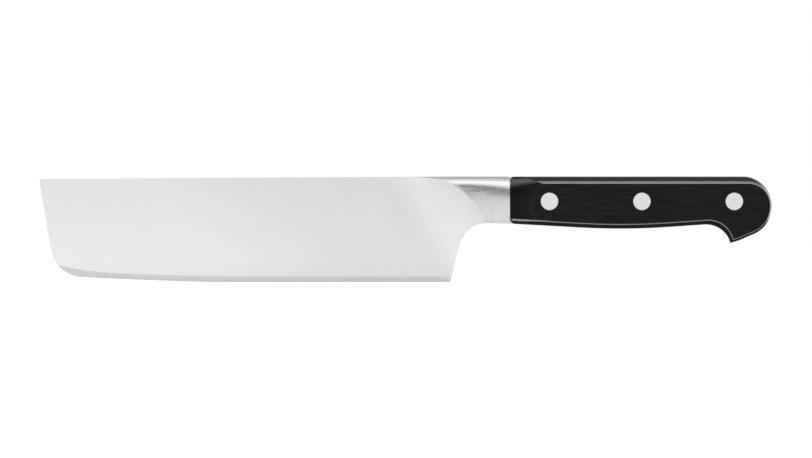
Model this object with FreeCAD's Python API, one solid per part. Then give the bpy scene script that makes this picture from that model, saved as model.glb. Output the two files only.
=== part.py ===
import FreeCAD, Part
import math
import os

# Nakiri knife: one steel forging (blade, bolster and full tang), two moulded handle scales and
# three two-part rivets. X runs from the tip (-X) to the butt (+X), Y is the thickness and Z is
# up, with the cutting edge down on z = 0 and the origin under the middle of the knife.
# All lengths are millimetres.

# Whole knife
overall_length = 303.0
blade_length = 170.0            # front corner of the spine to the heel corner
handle_length = 108.4           # joint behind the bolster to the butt
blade_height = 43.6             # cutting edge to the top line of spine, bolster and handle

# Blade outline
tip_drop = 1.0                  # the spine falls this much towards the tip
tip_rake = 7.2                  # the front leans back this much between spine and edge
tip_corner_radius = 1.3
toe_lift = 2.6                  # the edge's front stretch rises this much at the front corner
toe_radius = 13.5
edge_flat_length = 116.0        # heel corner to the corner of the two edge tangents
edge_sweep_radius = 1280.0
spine_break_run = 4.5           # the spine starts to fall this far in front of the heel
heel_rake = 6.3                 # the heel leans back this much between edge and bolster
heel_radius = 11.5

# Blade thickness, each side of the middle plane
spine_half_root = 1.4
spine_half_tip = 0.9
grind_half = 0.4
edge_half = 0.05
bevel_height_heel = 1.85
bevel_height_front = 2.05       # where the toe's growth starts
bevel_toe_run = 26.0            # the bevel grows over this last stretch to the front corner
bevel_toe_growth = 1.7
bevel_stations = 13

# Bolster, a crowned section that thins towards the blade; depths are measured from the top line
bolster_depth = 19.5            # its underside at the joint
bolster_rise = 0.6              # its underside rises this much from the joint to the heel's corner
bolster_front_depth = 39.6
bolster_front_run = 23.0        # how far in front of the heel its section starts
bolster_heel_run = 13.3         # how far behind the heel its underside levels out
crown_depth = 10.2              # the crown's widest line
joint_half = 7.0
heel_half = 6.0
front_half = 4.6
crown_fall = 0.25               # the side's tangent falls in this much between crown and underside
crown_radius = 34.0
round_fall = 1.8                # the upper side's tangents meet this far inside the crown,
round_depth = 3.6               # this far under the top
round_radius = 13.0
top_fall = 3.85                 # and meet the top this far inside the crown
top_radius = 4.0
heel_share = 0.84               # of the joint's falls and roundings that the heel's section has
front_share = 0.64
underside_band_height = 1.5     # slanting band between the side and the underside
underside_band_width = 1.1
underside_radius = 0.8          # of the band's upper edge
spine_strip = 0.05              # the spine stands this little above the bolster's rounding

# Ground hollow between the blade's face and the bolster
hollow_radius = 28.0            # the line where the hollow ends on the bolster, seen from the side
hollow_center_run = 12.6        # in front of the heel
hollow_center_depth = 26.8
hollow_length = 15.0
hollow_rise = 4.8
hollow_fade_angle = 30.0        # above this the rise fades with the bolster's rounded top
hollow_fade_share = 0.9
hollow_sink = 0.02              # the hollow starts this little under the blade's face
hollow_first_angle = -34.0
hollow_last_angle = 86.0
hollow_levels = 8

# Handle outline; a corner's run is measured from the butt, its depth from the top line
butt_radius = 12.0
back_radius = 12.4
back_depth = 20.6
hook_heel_run = 13.5
hook_heel_depth = 26.4
hook_heel_radius = 8.0
hook_run = 17.1
hook_depth = 27.5
waist_run = 19.7
waist_depth = 19.3
waist_radius = 10.4
belly_depth = 22.1
belly_place_share = 0.537       # of the way from the joint to the waist
belly_reach_share = 0.55        # of the shorter run beside it that the belly's arc takes up

# Scales: a ground flat on each side with convex shoulders round it
handle_half = 8.5
front_top_radius = 2.0          # of a scale's corners beside the bolster
front_bottom_radius = 2.5
top_shoulder = 3.0
butt_shoulder = 0.95
back_shoulder = 1.3
hook_shoulder = 1.35
belly_shoulder = 1.9
shoulder_turn = 51.0            # degrees that a shoulder turns between tang and flat
shoulder_levels = 9
neck_length = 27.0              # the neck's widening, carried on past the end of the flat
neck_end_half = 11.8
neck_end_share = 0.3            # of the joint's upper falls and roundings that its end has
neck_end_crown_depth = 7.0
neck_end_fall = 1.5
neck_end_depth = 21.7
neck_end_rise = 0.8             # of its top line, out of the way of the scale's own shoulder
grip_length = 20.0              # of a stretch behind the neck
grip_stretches = 2

# Tang and rivets
tang_half = 1.7
rivet_depth = 10.3              # from the top line
front_rivet_run = 16.3          # from the joint
rear_rivet_run = 15.8           # from the butt
rivet_names = ("front", "middle", "rear")
head_radius = 3.57
head_depth = 2.5
sleeve_radius = 2.4
pin_radius = 1.5
sleeve_floor = 0.6              # steel left between the sleeve's head and its bore
rivet_gap = 0.3                 # end play left at the tip of the sleeve and of the pin
fit_clearance = 0.02

overrun = 1.0
loft_degree = 3                 # of the smooth lofts along their length

# Places worked out from the sizes above
butt_x = overall_length / 2
joint_x = butt_x - handle_length
heel_x = blade_length - overall_length / 2
rake_angle = math.atan2(tip_rake, blade_height)
rounding_loss_share = (1 + math.sin(rake_angle)) / math.cos(rake_angle) - 1
tip_x = -overall_length / 2 - tip_corner_radius * rounding_loss_share
toe_x = tip_x + tip_rake * (blade_height - tip_drop - toe_lift) / (blade_height - tip_drop)
sweep_x = heel_x - edge_flat_length
heel_top_x = heel_x + heel_rake
bolster_bottom = blade_height - bolster_depth
rivet_height = blade_height - rivet_depth

vector = FreeCAD.Vector


def at_depth(y):
    # Puts a flat point (along, up) into the knife's side plane at depth y
    return lambda point: vector(point.x, y, point.y)


def at_station(x):
    # Puts a flat point (across, up) into the knife's cross-section at x
    return lambda point: vector(x, point.x, point.y)


def at_height(z):
    # Puts a flat point (along, across) into the level plane at height z
    return lambda point: vector(point.x, point.y, z)


def rounded_wire(corners, place):
    # Closed wire through (first, second, radius) corners, each rounded by a tangent arc
    points = [vector(first, second, 0) for first, second, radius in corners]
    spans = []
    for index, corner in enumerate(points):
        radius = corners[index][2]
        back = (points[index - 1] - corner).normalize()
        ahead = (points[(index + 1) % len(points)] - corner).normalize()
        half_angle = back.getAngle(ahead) / 2
        reach = radius / math.tan(half_angle)
        inward = (back + ahead).normalize() * (radius / math.sin(half_angle) - radius)
        spans.append((corner + back * reach, corner + inward, corner + ahead * reach))
    edges = []
    for index, (start, middle, end) in enumerate(spans):
        if corners[index][2]:
            edges.append(Part.Arc(place(start), place(middle), place(end)).toShape())
        following = spans[(index + 1) % len(spans)][0]
        edges.append(Part.LineSegment(place(end), place(following)).toShape())
    return Part.Wire(edges)


def plate(corners, half):
    # Flat plate of an outline, as thick on each side of the middle plane
    face = Part.Face(rounded_wire(corners, at_depth(-half)))
    return face.extrude(vector(0, 2 * half, 0))


def straight_loft(wires):
    return Part.makeLoft(wires, True, True)


def smooth_loft(wires):
    return Part.makeLoft(wires, True, False, False, loft_degree)


def both_sides(shape):
    return [shape, shape.mirror(vector(), vector(0, 1, 0))]


def forging_corners():
    # Side outline of blade and bolster, counter-clockwise from the heel corner
    return [
        (heel_x, 0, 0),
        (heel_top_x, bolster_bottom + bolster_rise, heel_radius),
        (joint_x, bolster_bottom, 0),
        (joint_x, blade_height, 0),
        (heel_x - spine_break_run, blade_height, 0),
        (tip_x, blade_height - tip_drop, tip_corner_radius),
        (toe_x, toe_lift, toe_radius),
        (sweep_x, 0, edge_sweep_radius),
    ]


def edge_height(x):
    # Height of the cutting edge: level from the heel, then swept up towards the toe
    climb = math.atan2(toe_lift, sweep_x - toe_x)
    reach = edge_sweep_radius * math.tan(climb / 2)
    run = sweep_x + reach - x
    if run <= 0:
        return 0
    if run < edge_sweep_radius * math.sin(climb):
        return edge_sweep_radius - math.sqrt(edge_sweep_radius ** 2 - run ** 2)
    return (sweep_x - x) * math.tan(climb)


def bevel_section(x):
    # What the stone takes off one side at x, from under the edge to outside the face
    toe_start = tip_x + bevel_toe_run
    height_share = (heel_x - x) / (heel_x - toe_start)
    height = bevel_height_heel + (bevel_height_front - bevel_height_heel) * min(height_share, 1)
    height += bevel_toe_growth * max(toe_start - x, 0) / bevel_toe_run
    width = grind_half - edge_half
    low_share = 0.5
    high_share = 1.6
    low = edge_height(x) - height * low_share
    high = edge_height(x) + height * high_share
    outside = edge_half + width * high_share
    corners = [(edge_half - width * low_share, low, 0), (outside + overrun, low, 0), (outside, high, 0)]
    return rounded_wire(corners, at_station(x))


def blade():
    # Wedge that thins towards the edge and the tip, cut to the outline and bevelled
    def section(x, spine_half):
        top = blade_height + overrun
        corners = [(-grind_half, -overrun, 0), (grind_half, -overrun, 0),
                   (spine_half, top, 0), (-spine_half, top, 0)]
        return rounded_wire(corners, at_station(x))

    wedge = straight_loft([section(tip_x - overrun, spine_half_tip), section(joint_x, spine_half_root)])
    body = wedge.common(plate(forging_corners(), joint_half))
    first = heel_x + overrun
    step = (tip_x - overrun - first) / (bevel_stations - 1)
    bevel = smooth_loft([bevel_section(first + step * index) for index in range(bevel_stations)])
    return body.cut(both_sides(bevel))


def crowned_section(x, half, share, top, bottom, depth=crown_depth, fall=crown_fall):
    # Cross-section with crowned sides, well rounded shoulders and a slanting band along the underside
    right = [
        (half - fall - underside_band_width, bottom, 0),
        (half - fall, bottom + underside_band_height, underside_radius),
        (half, blade_height - depth, crown_radius),
        (half - round_fall * share, top - round_depth * share, round_radius * share ** 2),
        (half - top_fall * share, top, top_radius * share),
    ]
    left = [(-across, up, radius) for across, up, radius in reversed(right)]
    return rounded_wire(right + left, at_station(x))


def hollow_section(angle):
    # One level of the ground hollow: along the blade's face, then up a hollow arc
    height = blade_height - hollow_center_depth + hollow_radius * math.sin(math.radians(angle))
    end = heel_x - hollow_center_run + hollow_radius * math.cos(math.radians(angle))
    start = end - hollow_length
    floor = grind_half + (spine_half_root - grind_half) * height / blade_height - hollow_sink
    fade = max(angle - hollow_fade_angle, 0) / (hollow_last_angle - hollow_fade_angle)
    rise = hollow_rise * (1 - hollow_fade_share * fade ** 2)
    wheel_radius = (hollow_length ** 2 + rise ** 2) / (2 * rise)
    top = joint_half + overrun
    turn = math.acos(1 - (top - floor) / wheel_radius)
    place = at_height(height)

    def on_wheel(part_turn):
        return place(vector(start + wheel_radius * math.sin(part_turn),
                            floor + wheel_radius * (1 - math.cos(part_turn)), 0))

    outer = heel_x - bolster_front_run - overrun - hollow_length
    left_low = place(vector(outer, floor, 0))
    left_high = place(vector(outer, top, 0))
    arc = Part.Arc(on_wheel(0), on_wheel(turn / 2), on_wheel(turn)).toShape()
    return Part.Wire([
        Part.LineSegment(left_low, on_wheel(0)).toShape(),
        arc,
        Part.LineSegment(on_wheel(turn), left_high).toShape(),
        Part.LineSegment(left_high, left_low).toShape(),
    ])


def bolster():
    # Crowned body behind the heel, hollow ground on both sides down to the blade's face
    top = blade_height - spine_strip
    front_bottom = blade_height - bolster_front_depth
    level_x = heel_x + bolster_heel_run
    level_bottom = bolster_bottom + bolster_rise * (joint_x - level_x) / (joint_x - heel_top_x)
    body = straight_loft([
        crowned_section(heel_x - bolster_front_run, front_half, front_share, top, front_bottom),
        crowned_section(level_x, heel_half, heel_share, top, level_bottom),
        crowned_section(joint_x, joint_half, 1, top, bolster_bottom),
    ])
    step = (hollow_last_angle - hollow_first_angle) / (hollow_levels - 1)
    hollow = smooth_loft([hollow_section(hollow_first_angle + step * index)
                          for index in range(hollow_levels)])
    return body.common(plate(forging_corners(), joint_half + overrun)).cut(both_sides(hollow))


def hook_point():
    return vector(butt_x - hook_run, blade_height - hook_depth, 0)


def handle_corners(inward, lower_radius, upper_radius):
    # Side outline of tang and scales, counter-clockwise, begun this far inside the bolster
    front = vector(joint_x, bolster_bottom, 0)
    waist = vector(butt_x - waist_run, blade_height - waist_depth, 0)
    belly = vector(joint_x + (waist.x - joint_x) * belly_place_share, blade_height - belly_depth, 0)
    forward = front - belly
    rearward = waist - belly
    waist_reach = waist_radius / math.tan(rearward.getAngle(waist - hook_point()) / 2)
    reach = min(forward.Length, rearward.Length - waist_reach) * belly_reach_share
    belly_radius = reach * math.tan(forward.getAngle(rearward) / 2)
    inside = front + forward * (inward / forward.Length)
    return [
        (inside.x, inside.y, lower_radius),
        (belly.x, belly.y, belly_radius),
        (waist.x, waist.y, waist_radius),
        (hook_point().x, hook_point().y, 0),
        (butt_x - hook_heel_run, blade_height - hook_heel_depth, hook_heel_radius),
        (butt_x, blade_height - back_depth, back_radius),
        (butt_x, blade_height, butt_radius),
        (inside.x, blade_height, upper_radius),
    ]


def inset_corners(corners, insets):
    # Moves each side of a counter-clockwise outline in by its own inset; side 0 leaves corner 0.
    # A corner's radius shrinks with it, unless one of the two sides stays
    points = [vector(first, second, 0) for first, second, radius in corners]
    sides = []
    for index, inset in enumerate(insets):
        along = (points[(index + 1) % len(points)] - points[index]).normalize()
        sides.append((points[index] + vector(-along.y, along.x, 0) * inset, along))
    moved = []
    for index, (first, second, radius) in enumerate(corners):
        last_point, last_along = sides[index - 1]
        next_point, next_along = sides[index]
        turn = last_along.cross(next_along).z
        reach = (next_point - last_point).cross(next_along).z / turn
        corner = last_point + last_along * reach
        beside = (insets[index - 1], insets[index])
        if radius and turn > 0 and min(beside):
            radius = radius - max(beside)
        moved.append((corner.x, corner.y, radius))
    return moved


def rivet_places():
    # The middle rivet is halfway between the other two
    front_x = joint_x + front_rivet_run
    rear_x = butt_x - rear_rivet_run
    return [front_x, (front_x + rear_x) / 2, rear_x]


def rod(x, radius, y_from, y_to):
    # Round bar across the handle at a rivet's place
    return Part.makeCylinder(radius, y_to - y_from, vector(x, y_from, rivet_height), vector(0, 1, 0))


def tang():
    # Steel plate between the scales, drilled for the rivets
    drills = [rod(x, sleeve_radius + fit_clearance, -handle_half, handle_half) for x in rivet_places()]
    return plate(handle_corners(overrun, 0, 0), tang_half).cut(drills)


def forged_blade():
    return blade().fuse([bolster(), tang()]).removeSplitter()


def shoulder_wire(turn_share):
    # Outline of a scale between the tang (0) and the flat (1), drawn in round the shoulder's arc
    turn = math.radians(shoulder_turn)
    depth_share = math.sin(turn * turn_share) / math.sin(turn)
    inset_share = (1 - math.cos(turn * turn_share)) / (1 - math.cos(turn))
    insets = [belly_shoulder, belly_shoulder, hook_shoulder, back_shoulder, back_shoulder,
              butt_shoulder, top_shoulder, 0]
    outline = handle_corners(0, front_bottom_radius, front_top_radius)
    corners = inset_corners(outline, [inset * inset_share for inset in insets])
    return rounded_wire(corners, at_depth(tang_half + (handle_half - tang_half) * depth_share))


def stretch_box(x, length):
    # Box round one scale along a stretch of the handle
    return Part.makeBox(length, 2 * handle_half, blade_height + overrun, vector(x, 0, 0))


def right_scale():
    # Crowned scale whose flat runs out in an arc on the neck behind the bolster; it is joined from
    # stretches, which keeps its long faces light
    levels = [index / (shoulder_levels - 1) for index in range(shoulder_levels)]
    body = smooth_loft([shoulder_wire(level) for level in levels])
    neck_bottom = blade_height - neck_end_depth
    neck_top = blade_height + neck_end_rise
    joint_top = blade_height - spine_strip
    neck = straight_loft([
        crowned_section(joint_x - overrun, joint_half, 1, joint_top, bolster_bottom),
        crowned_section(joint_x, joint_half, 1, joint_top, bolster_bottom),
        crowned_section(joint_x + neck_length, neck_end_half, neck_end_share, neck_top, neck_bottom,
                        neck_end_crown_depth, neck_end_fall),
    ])
    grip_x = joint_x + neck_length
    grips = [stretch_box(grip_x + grip_length * index, grip_length) for index in range(grip_stretches)]
    rear = stretch_box(grip_x + grip_length * grip_stretches, handle_length)
    shaped = body.common(neck).fuse([body.common(stretch) for stretch in grips + [rear]])
    drills = []
    for x in rivet_places():
        drills.append(rod(x, sleeve_radius + fit_clearance, 0, handle_half))
        drills.append(rod(x, head_radius + fit_clearance, handle_half - head_depth, handle_half + overrun))
    return shaped.cut(drills)


def rivet_sleeve(x):
    # Headed tube, pushed in from the left side
    head = rod(x, head_radius, -handle_half, head_depth - handle_half)
    tube_end = handle_half - head_depth - rivet_gap
    tube = rod(x, sleeve_radius, -handle_half, tube_end)
    bore_start = head_depth - handle_half + sleeve_floor
    bore = rod(x, pin_radius + fit_clearance, bore_start, tube_end + overrun)
    return head.fuse(tube).removeSplitter().cut(bore)


def rivet_pin(x):
    # Headed pin, pressed into the sleeve from the right side
    head = rod(x, head_radius, handle_half - head_depth, handle_half)
    tip = head_depth - handle_half + sleeve_floor + rivet_gap
    return head.fuse(rod(x, pin_radius, tip, handle_half)).removeSplitter()


def main():
    scale = right_scale()
    nodes = {
        "forged_blade": forged_blade(),
        "right_scale": scale,
        "left_scale": scale.mirror(vector(), vector(0, 1, 0)),
    }
    for name, x in zip(rivet_names, rivet_places()):
        nodes[name + "_rivet_sleeve"] = rivet_sleeve(x)
        nodes[name + "_rivet_pin"] = rivet_pin(x)
    os.makedirs("parts", exist_ok=True)
    for name, shape in nodes.items():
        solid = shape.Solids[0]
        print(name, len(shape.Solids), shape.isValid(), round(solid.Volume, 2), solid.BoundBox)
        solid.exportStep("parts/" + name + ".step")


main()
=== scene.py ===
import math

import bpy
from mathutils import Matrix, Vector

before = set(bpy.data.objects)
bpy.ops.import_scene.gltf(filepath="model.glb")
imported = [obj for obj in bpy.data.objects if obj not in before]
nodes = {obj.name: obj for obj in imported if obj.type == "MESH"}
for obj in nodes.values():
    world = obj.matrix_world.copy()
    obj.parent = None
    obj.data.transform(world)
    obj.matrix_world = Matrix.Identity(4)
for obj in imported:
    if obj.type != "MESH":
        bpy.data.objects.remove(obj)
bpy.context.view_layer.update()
mm = 0.001


def hexToLinear(hexColour):
    # sRGB hex to the linear values that the sockets take
    channels = [int(hexColour[i:i + 2], 16) / 255 for i in (1, 3, 5)]
    linear = [c / 12.92 if c <= 0.04045 else ((c + 0.055) / 1.055) ** 2.4 for c in channels]
    return (*linear, 1)


black = hexToLinear("#000000")
white = hexToLinear("#ffffff")


def addNode(tree, kind, inputs=(), out=0, **settings):
    # one node; inputs come in order, or by number or name, as values or as sockets to link
    # (in a Mix, 0 is the share, 2 and 3 are the numbers, 6 and 7 the colours)
    node = tree.nodes.new("ShaderNode" + kind)
    for name, value in settings.items():
        setattr(node, name, value)
    pairs = inputs.items() if isinstance(inputs, dict) else enumerate(inputs)
    for key, value in pairs:
        if isinstance(value, bpy.types.NodeSocket):
            tree.links.new(value, node.inputs[key])
        else:
            node.inputs[key].default_value = value
    return node.outputs[out]


def newMaterial(name):
    material = bpy.data.materials.new(name)
    material.use_nodes = True
    return material, material.node_tree, material.node_tree.nodes["Principled BSDF"]


lineNoise = {"Scale": 1, "Detail": 3, "Roughness": 0.6}
noiseSpan = (0.25, 0.75)    # where most of that noise lies


def lines(tree, place, turn, length, spacing):
    # fine lines of that length and spacing, turned about Y; 0 degrees runs along the knife
    turned = addNode(tree, "Mapping", {"Vector": place, "Rotation": (0, math.radians(turn), 0),
                                       "Scale": (length, length, spacing)}, vector_type="TEXTURE")
    return addNode(tree, "TexNoise", {"Vector": turned, **lineNoise})


def gradient(tree, along, stops):
    # value along a coordinate, through stops of (place, value)
    first, last = stops[0][0], stops[-1][0]
    share = addNode(tree, "MapRange", [along, first, last])
    ramp = addNode(tree, "ValToRGB", [share])
    elements = ramp.node.color_ramp.elements
    elements.remove(elements[1])    # a new ramp has two, and the one at 0 is used
    for place, value in stops:
        position = (place - first) / (last - first)
        element = elements.new(position) if position else elements[0]
        element.color = (value, value, value, 1)
    return ramp


# blade, bolster and tang: one forging, ground and brushed

forging = {
    "colour": "#e9e9e9",
    "lineSpan": (0.3, 0.7),             # of the noise, from the darkest lines to the brightest
    "lineRoughness": (-0.04, 0.05),     # what lines add to the roughness
    "bump": {"Strength": 0.06, "Distance": 0.02 * mm},

    # blade; real lines are finer, and these are coarser so that they show
    "grind": {"turn": 60, "length": 18 * mm, "spacing": 0.7 * mm},
    "grindDark": 0.93,                  # tone of the darkest lines
    "faceRoughness": 0.32,
    # painted shade and sheen: the face darkens a little towards the heel, and a painted sheen comes
    # back at the run-out
    "faceShadeAndSheen": [(-76 * mm, 1.0), (-26 * mm, 0.92), (18 * mm, 0.90), (23 * mm, 0.95),
                  (28 * mm, 1.01), (31.5 * mm, 1.02), (35.5 * mm, 0.97), (39 * mm, 0.93),
                  (44 * mm, 0.91)],
    "faceLean": 0.65,                   # that painted shade and sheen leans with the grinding lines
    "spineShade": (1, 0.92),             # painted shade, darker towards the spine too
    "spineSpan": (10 * mm, 43 * mm),

    # bolster, brushed up and down, also coarser than real
    "brush": {"turn": 90, "length": 4.5 * mm, "spacing": 0.34 * mm},
    "brushDark": 0.88,
    "bolsterRoughness": 0.20,
    # greyer than the blade, with painted light and shade by how far it faces down (-1) or up (1)
    "bolsterLightAndShade": [(-0.55, 0.775), (-0.35, 0.79), (-0.20, 0.87), (-0.06, 0.79), (0.06, 0.875),
                     (0.15, 0.88), (0.20, 0.79), (0.26, 0.77), (0.33, 0.875)],
    "bolsterStart": (12 * mm, 13 * mm),  # along X, and past the arc that the wheel left
    "hollowCentre": (5.9 * mm, 0, 16.8 * mm),
    "hollowRadius": (27.8 * mm, 28.2 * mm),

    # bevel: what faces down and lies low; a duller strip where it was sharpened, with painted shade
    # that darkens it most at the toe
    "bevelFacing": (-0.06, -0.09),
    "bevelHeight": (9 * mm, 8 * mm),
    "bevelTone": (0.74, 0.91),
    "bevelSpan": (-136 * mm, -108 * mm),
}


def groundStainless():
    # stainless steel, wheel ground: bright and even, fine slanting lines on the blade,
    # upright ones on the bolster, a duller strip along the edge where it was sharpened,
    # and painted shade and sheen over face, bolster and bevel
    material, tree, shader = newMaterial("stainless_steel_wheel_ground")
    place = addNode(tree, "TexCoord", out="Object")
    axes = addNode(tree, "SeparateXYZ", [place]).node.outputs
    normal = addNode(tree, "TexCoord", out="Normal")
    facing = addNode(tree, "SeparateXYZ", [normal]).node.outputs

    # where the bolster is, and the bevel
    sideView = addNode(tree, "CombineXYZ", {"X": axes["X"], "Z": axes["Z"]})
    away = addNode(tree, "VectorMath", [sideView, forging["hollowCentre"]], "Value",
                   operation="DISTANCE")
    pastHollow = addNode(tree, "MapRange", [away, *forging["hollowRadius"]])
    behind = addNode(tree, "MapRange", [axes["X"], *forging["bolsterStart"]])
    onBolster = addNode(tree, "Math", [pastHollow, behind], operation="MULTIPLY")
    downward = addNode(tree, "MapRange", [facing["Z"], *forging["bevelFacing"]])
    low = addNode(tree, "MapRange", [axes["Z"], *forging["bevelHeight"]])
    onBevel = addNode(tree, "Math", [downward, low], operation="MULTIPLY")

    # lines of both finishes
    grind = lines(tree, place, **forging["grind"])
    brush = lines(tree, place, **forging["brush"])
    grain = addNode(tree, "Mix", {0: onBolster, 2: grind, 3: brush})
    dark = addNode(tree, "Mix", {0: onBolster, 2: forging["grindDark"], 3: forging["brushDark"]})
    grainTone = addNode(tree, "MapRange", [grain, *forging["lineSpan"], dark, 1])
    grainRough = addNode(tree, "MapRange", [grain, *noiseSpan, *forging["lineRoughness"]])
    bump = addNode(tree, "Bump", {"Height": grain, **forging["bump"]})

    # tones of face, bolster and bevel: painted shade and sheen, and the bevel's duller sharpened
    # finish
    leaning = addNode(tree, "Math", [axes["Z"], forging["faceLean"], axes["X"]],
                      operation="MULTIPLY_ADD")
    paintedFaceTone = gradient(tree, leaning, forging["faceShadeAndSheen"])
    # painted shade, darker towards the spine
    spineShade = addNode(tree, "MapRange", [axes["Z"], *forging["spineSpan"], *forging["spineShade"]])
    faceTone = addNode(tree, "Math", [paintedFaceTone, spineShade], operation="MULTIPLY")
    # painted light and shade on the bolster, by which way it faces
    bolsterTone = gradient(tree, facing["Z"], forging["bolsterLightAndShade"])
    # painted shade on the bevel, darkest at the toe, over its duller sharpened finish
    bevelTone = addNode(tree, "MapRange", [axes["X"], *forging["bevelSpan"], *forging["bevelTone"]])
    finish = addNode(tree, "Mix", {0: onBolster, 2: faceTone, 3: bolsterTone})
    finish = addNode(tree, "Mix", {0: onBevel, 2: finish, 3: bevelTone})
    tone = addNode(tree, "Math", [grainTone, finish], operation="MULTIPLY")
    colour = addNode(tree, "Mix", {0: tone, 6: black, 7: hexToLinear(forging["colour"])}, 2,
                     data_type="RGBA")
    rough = addNode(tree, "Mix", {0: onBolster, 2: forging["faceRoughness"],
                                  3: forging["bolsterRoughness"]})
    rough = addNode(tree, "Math", [rough, grainRough], operation="ADD")

    shader.inputs["Metallic"].default_value = 1
    tree.links.new(colour, shader.inputs["Base Color"])
    tree.links.new(rough, shader.inputs["Roughness"])
    tree.links.new(bump, shader.inputs["Normal"])
    return material


# handle scales

scale = {
    "colour": "#1f1f20",
    "specular": 0.12,
    "flatDepth": 8.5 * mm,              # of the flats, from the middle of the knife
    "flatSkin": 0.015 * mm,             # what lies this near to that depth is flat
    "shoulderFacing": (0.93, 0.87),     # and what faces sideways less than this is shoulder

    # flats, ground along the handle
    "flatRoughness": (0.49, 0.61),
    "streaks": {"turn": 0, "length": 10 * mm, "spacing": 0.55 * mm},   # coarser than real
    "streakSpan": (0.35, 0.65),
    "streakTone": (0.15, 1),
    "bump": {"Strength": 0.05, "Distance": 0.02 * mm},

    # moulded sides, blacker than the flats, with painted shade darkest beside the bolster
    "sideDepth": (6.5 * mm, 8.3 * mm),
    "sideShade": (0.0, 0.35),

    # shoulders: a gloss on top and at the butt, where the palm rubs
    "shoulderRoughness": 0.30,
    "glossRoughness": 0.26,
    "glossIor": 1.7,
    "crestFacing": (0.60, 0.85),
    "crestShare": 0.05,                 # of that gloss, left along the very top
    "underRoughness": 0.90,
    "underFacing": (-0.6, -0.3),        # dull where it faces down
    "hookFacing": (-0.7, -0.3),         # or forwards, inside the hook

    # painted highlight, a pale line where shoulder and flat meet
    "highlightColour": "#a6a6a9",
    "edgeDepth": (7.75 * mm, 8.10 * mm),  # where the painted highlight line starts and is palest
    "topFacing": (0.3, 0.6),
    "highlightDepth": 6.9 * mm,              # painted highlight: the top shoulder pales from this depth out to the flat
    "highlightShare": 0.85,
    "rimDepth": 7.9 * mm,               # painted highlight: the neck pales a little from this one
    "rimShare": 0.02,

    # painted highlight line under the neck
    "neckEdge": (43.1 * mm, 25.8 * mm),  # where it starts, at the bolster
    "neckSlope": 0.057,
    "neckEnd": (61 * mm, 58 * mm),      # where it has faded into the flat's edge
    "neckWidth": (0.42 * mm, 0.3 * mm),
    "neckFacing": (0.5, 0.6),
}


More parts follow.
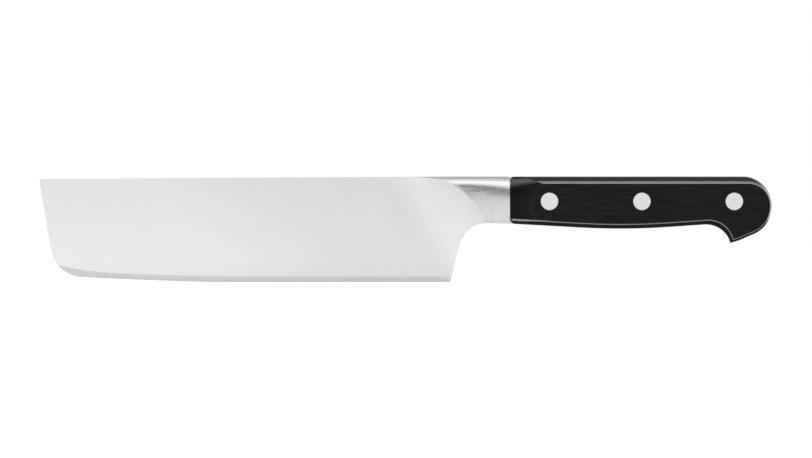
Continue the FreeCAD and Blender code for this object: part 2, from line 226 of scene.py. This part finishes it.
def blackAcetal():
    # acetal, moulded black: flats ground along the handle and streaky, shoulders buffed,
    # with a painted highlight: a pale line along the edge of the flat, wider on top and under the
    # neck
    material, tree, shader = newMaterial("acetal_moulded_and_ground")
    place = addNode(tree, "TexCoord", out="Object")
    axes = addNode(tree, "SeparateXYZ", [place]).node.outputs
    normal = addNode(tree, "TexCoord", out="Normal")
    facing = addNode(tree, "SeparateXYZ", [normal]).node.outputs
    depth = addNode(tree, "Math", [axes["Y"]], operation="ABSOLUTE")
    sideways = addNode(tree, "Math", [facing["Y"]], operation="ABSOLUTE")
    onFlat = addNode(tree, "Math", [depth, scale["flatDepth"] - scale["flatSkin"]],
                     operation="GREATER_THAN")
    onShoulder = addNode(tree, "MapRange", [sideways, *scale["shoulderFacing"]])

    # buffed where it faces up or back, dull underneath and inside the hook
    level = addNode(tree, "MapRange", [facing["Z"], *scale["underFacing"]])
    backward = addNode(tree, "MapRange", [facing["X"], *scale["hookFacing"]])
    buffed = addNode(tree, "Math", [level, backward], operation="MULTIPLY")
    crest = addNode(tree, "MapRange", [facing["Z"], *scale["crestFacing"], 1, scale["crestShare"]])
    gloss = addNode(tree, "Math", [onShoulder, buffed], operation="MULTIPLY")
    gloss = addNode(tree, "Math", [gloss, crest], operation="MULTIPLY")
    shoulderRough = addNode(tree, "Mix", {0: buffed, 2: scale["underRoughness"],
                                          3: scale["shoulderRoughness"]})

    # painted highlight: pale along the flat's edge, and more widely on top, where it faces up
    nearFlat = addNode(tree, "MapRange", [depth, *scale["edgeDepth"]])
    paintedTopHighlight = addNode(tree, "MapRange", [depth, scale["highlightDepth"], scale["flatDepth"],
                                         0, scale["highlightShare"]])
    upward = addNode(tree, "MapRange", [facing["Z"], *scale["topFacing"]])
    paintedHighlight = addNode(tree, "Mix", {0: upward, 2: nearFlat, 3: paintedTopHighlight})
    flatEdge = addNode(tree, "Math", [onShoulder, paintedHighlight], operation="MULTIPLY")

    # and a painted highlight line along the upper edge of the band under the neck
    neckX, neckZ = scale["neckEdge"]
    run = addNode(tree, "Math", [axes["X"], neckX], operation="SUBTRACT")
    height = addNode(tree, "Math", [axes["Z"], neckZ], operation="SUBTRACT")
    above = addNode(tree, "Math", [run, scale["neckSlope"], height], operation="MULTIPLY_ADD")
    fromLine = addNode(tree, "Math", [above], operation="ABSOLUTE")
    alongNeck = addNode(tree, "MapRange", [fromLine, *scale["neckWidth"]])
    onNeck = addNode(tree, "MapRange", [axes["X"], *scale["neckEnd"]])
    outward = addNode(tree, "MapRange", [sideways, *scale["neckFacing"]])
    neckLine = addNode(tree, "Math", [alongNeck, onNeck], operation="MULTIPLY")
    neckLine = addNode(tree, "Math", [neckLine, outward], operation="MULTIPLY")
    onHighlight = addNode(tree, "Math", [flatEdge, neckLine], operation="MAXIMUM")
    # a faint painted highlight near the flat's edge, off the flat itself
    rim = addNode(tree, "MapRange", [depth, scale["rimDepth"], scale["flatDepth"],
                                     0, scale["rimShare"]])
    rim = addNode(tree, "Mix", {0: onFlat, 2: rim, 3: 0})
    onHighlight = addNode(tree, "Math", [onHighlight, rim], operation="MAXIMUM")

    # streaks on the flats, and black with painted shade beside them
    streaks = lines(tree, place, **scale["streaks"])
    streakTone = addNode(tree, "MapRange", [streaks, *scale["streakSpan"], *scale["streakTone"]])
    streakRough = addNode(tree, "MapRange", [streaks, *noiseSpan, *scale["flatRoughness"]])
    bump = addNode(tree, "Bump", {"Height": streaks, **scale["bump"]})
    # painted shade on the sides, darkest beside the bolster
    sideShade = addNode(tree, "MapRange", [depth, *scale["sideDepth"], *scale["sideShade"]])
    tone = addNode(tree, "Mix", {0: onFlat, 2: sideShade, 3: streakTone})
    base = addNode(tree, "Mix", {0: tone, 6: black, 7: hexToLinear(scale["colour"])}, 2,
                   data_type="RGBA")
    # the painted highlight, a pale colour over the black
    colour = addNode(tree, "Mix", {0: onHighlight, 6: base, 7: hexToLinear(scale["highlightColour"])}, 2,
                     data_type="RGBA")
    rough = addNode(tree, "Mix", {0: onFlat, 2: shoulderRough, 3: streakRough})

    shader.inputs["Specular IOR Level"].default_value = scale["specular"]
    shader.inputs["Coat IOR"].default_value = scale["glossIor"]
    shader.inputs["Coat Roughness"].default_value = scale["glossRoughness"]
    tree.links.new(gloss, shader.inputs["Coat Weight"])
    tree.links.new(colour, shader.inputs["Base Color"])
    tree.links.new(rough, shader.inputs["Roughness"])
    tree.links.new(bump, shader.inputs["Normal"])
    return material


# rivets

rivet = {
    "colour": "#e0e0e0",
    "roughness": (0.31, 0.41),
    "streaks": {"turn": 0, "length": 4 * mm, "spacing": 0.2 * mm},   # coarser than real
    "streakSpan": (0.3, 0.7),
    "streakTone": (0.95, 1),
    "bump": {"Strength": 0.05, "Distance": 0.02 * mm},
}


def satinRivetSteel():
    # stainless rivet heads, ground flush together with the scales: pale, with a soft sheen
    material, tree, shader = newMaterial("stainless_steel_rivet_ground_flush")
    place = addNode(tree, "TexCoord", out="Object")
    streaks = lines(tree, place, **rivet["streaks"])
    tone = addNode(tree, "MapRange", [streaks, *rivet["streakSpan"], *rivet["streakTone"]])
    colour = addNode(tree, "Mix", {0: tone, 6: black, 7: hexToLinear(rivet["colour"])}, 2,
                     data_type="RGBA")
    rough = addNode(tree, "MapRange", [streaks, *noiseSpan, *rivet["roughness"]])
    bump = addNode(tree, "Bump", {"Height": streaks, **rivet["bump"]})

    shader.inputs["Metallic"].default_value = 1
    tree.links.new(colour, shader.inputs["Base Color"])
    tree.links.new(rough, shader.inputs["Roughness"])
    tree.links.new(bump, shader.inputs["Normal"])
    return material


def dress(nodeNames, material):
    for name in nodeNames:
        nodes[name].material_slots[0].material = material


dress(["forged_blade"], groundStainless())
dress(["left_scale", "right_scale"], blackAcetal())
dress([name for name in nodes if "rivet" in name], satinRivetSteel())
print("materials on", len(nodes), "pieces")


# studio floor

paper = {
    "size": 8.0,                        # metres
    "colour": "#e2e2e2",
    "roughness": 0.9,
    "glow": (0.14, 0.50),               # by the blade's edge, in its shadow, and away from it
    "glowReach": 22 * mm,
    "contact": (-120 * mm, 12 * mm),    # ends of the edge on the floor, along X
}


def paleFloor():
    # matt paper, so no gloss of its own
    bpy.ops.object.select_all(action="DESELECT")
    bpy.ops.mesh.primitive_plane_add(size=paper["size"], location=(0, 0, 0))
    floor = bpy.context.object
    floor.name = "studio_floor"
    material, tree, shader = newMaterial("paper_backdrop_matt")
    shader.inputs["Base Color"].default_value = hexToLinear(paper["colour"])
    shader.inputs["Roughness"].default_value = paper["roughness"]
    shader.inputs["Specular IOR Level"].default_value = 0
    shader.inputs["Emission Color"].default_value = white

    # glow that only the camera and mirror-like surfaces see, and that leaves the shadow dark
    place = addNode(tree, "TexCoord", out="Object")
    axes = addNode(tree, "SeparateXYZ", [place]).node.outputs
    tip, heel = paper["contact"]
    fromMiddle = addNode(tree, "Math", [axes["X"], (tip + heel) / 2], operation="SUBTRACT")
    along = addNode(tree, "Math", [fromMiddle], operation="ABSOLUTE")
    pastEnd = addNode(tree, "Math", [along, (heel - tip) / 2], operation="SUBTRACT")
    pastEnd = addNode(tree, "Math", [pastEnd, 0], operation="MAXIMUM")
    fromEdge = addNode(tree, "CombineXYZ", {"X": pastEnd, "Y": axes["Y"]})
    distance = addNode(tree, "VectorMath", [fromEdge], "Value", operation="LENGTH")
    glow = addNode(tree, "MapRange", [distance, 0, paper["glowReach"], *paper["glow"]])
    path = addNode(tree, "LightPath").node.outputs
    seen = addNode(tree, "Math", [path["Is Camera Ray"], path["Is Glossy Ray"]],
                   operation="MAXIMUM")
    seen = addNode(tree, "Math", [seen, path["Is Transmission Ray"]], operation="MAXIMUM")
    glowSeen = addNode(tree, "Math", [seen, glow], operation="MULTIPLY")
    tree.links.new(glowSeen, shader.inputs["Emission Strength"])
    floor.data.materials.append(material)


# sky dome, in directions from -1 to 1

dome = {
    # brightness in front of the knife, from the horizon (0) to overhead (1):
    # white walls, a dim gap and a bank of soft light above the camera
    "frontLight": [(0.0, 1.0), (0.22, 0.93), (0.34, 0.76), (0.44, 0.15), (0.52, 0.15),
                   (0.62, 1.0), (0.70, 1.45), (0.83, 1.50), (0.92, 1.20), (1.0, 0.85)],
    "backStart": (-0.15, 0.25),         # along Y, where that gives way to what is behind
    "backWall": 0.96,
    "backCeiling": 0.62,
    "ceilingStart": (0.3, 0.6),
    "backFlag": 0.1,                    # straight behind the knife, which darkens its outline
    "flagStart": (0.6, 0.85),
    "flagEnd": (0.10, 0.28),            # to the right, so that the butt has a bright rim
}


def studioDome():
    # white to the camera, and light by its height and side to everything else
    world = bpy.data.worlds.new("studio_dome")
    bpy.context.scene.world = world
    world.use_nodes = True
    tree = world.node_tree
    background = tree.nodes["Background"]
    background.inputs["Color"].default_value = white
    direction = addNode(tree, "TexCoord", out="Generated")
    axes = addNode(tree, "SeparateXYZ", [direction]).node.outputs
    front = gradient(tree, axes["Z"], dome["frontLight"])
    wall = addNode(tree, "MapRange", [axes["Y"], *dome["flagStart"],
                                      dome["backWall"], dome["backFlag"]])
    pastFlag = addNode(tree, "MapRange", [axes["X"], *dome["flagEnd"]])
    wall = addNode(tree, "Mix", {0: pastFlag, 2: wall, 3: dome["backWall"]})
    back = addNode(tree, "MapRange", [axes["Z"], *dome["ceilingStart"], wall, dome["backCeiling"]])
    rearward = addNode(tree, "MapRange", [axes["Y"], *dome["backStart"]])
    light = addNode(tree, "Mix", {0: rearward, 2: front, 3: back})
    seen = addNode(tree, "LightPath", out="Is Camera Ray")
    strength = addNode(tree, "Mix", {0: seen, 2: light, 3: 1})
    tree.links.new(strength, background.inputs["Strength"])


# lamp and camera

knifeMiddle = Vector((0.17 * mm, 0, 21.9 * mm))    # what both point at

leftCard = {
    "place": (-0.55, -0.9, 0.3),
    "size": (0.5, 0.5),
    "radiance": 0.6,
}

photograph = {
    "lens": 300,
    "pixelSize": 0.414 * mm,            # at the knife
    "width": 812,                       # pixels
    "clipEnd": 50,
}


def leftSoftbox():
    data = bpy.data.lights.new("left_card", "AREA")
    data.shape = "RECTANGLE"
    data.size, data.size_y = leftCard["size"]
    data.energy = leftCard["radiance"] * math.pi * data.size * data.size_y   # watts
    light = bpy.data.objects.new("left_card", data)
    light.location = leftCard["place"]
    toKnife = knifeMiddle - light.location
    light.rotation_euler = toKnife.to_track_quat("-Z", "Y").to_euler()
    bpy.context.scene.collection.objects.link(light)


def photographCamera():
    # square to the knife's side, from where the photograph's width fills the frame
    data = bpy.data.cameras.new("photograph_camera")
    data.lens = photograph["lens"]
    data.clip_end = photograph["clipEnd"]
    distance = photograph["pixelSize"] * photograph["width"] * data.lens / data.sensor_width
    camera = bpy.data.objects.new("photograph_camera", data)
    camera.location = knifeMiddle - Vector((0, distance, 0))
    camera.rotation_euler = (math.radians(90), 0, 0)
    bpy.context.scene.collection.objects.link(camera)
    bpy.context.scene.camera = camera


paleFloor()
studioDome()
leftSoftbox()
photographCamera()
bpy.context.scene.view_settings.view_transform = "Standard"
print("studio ready")
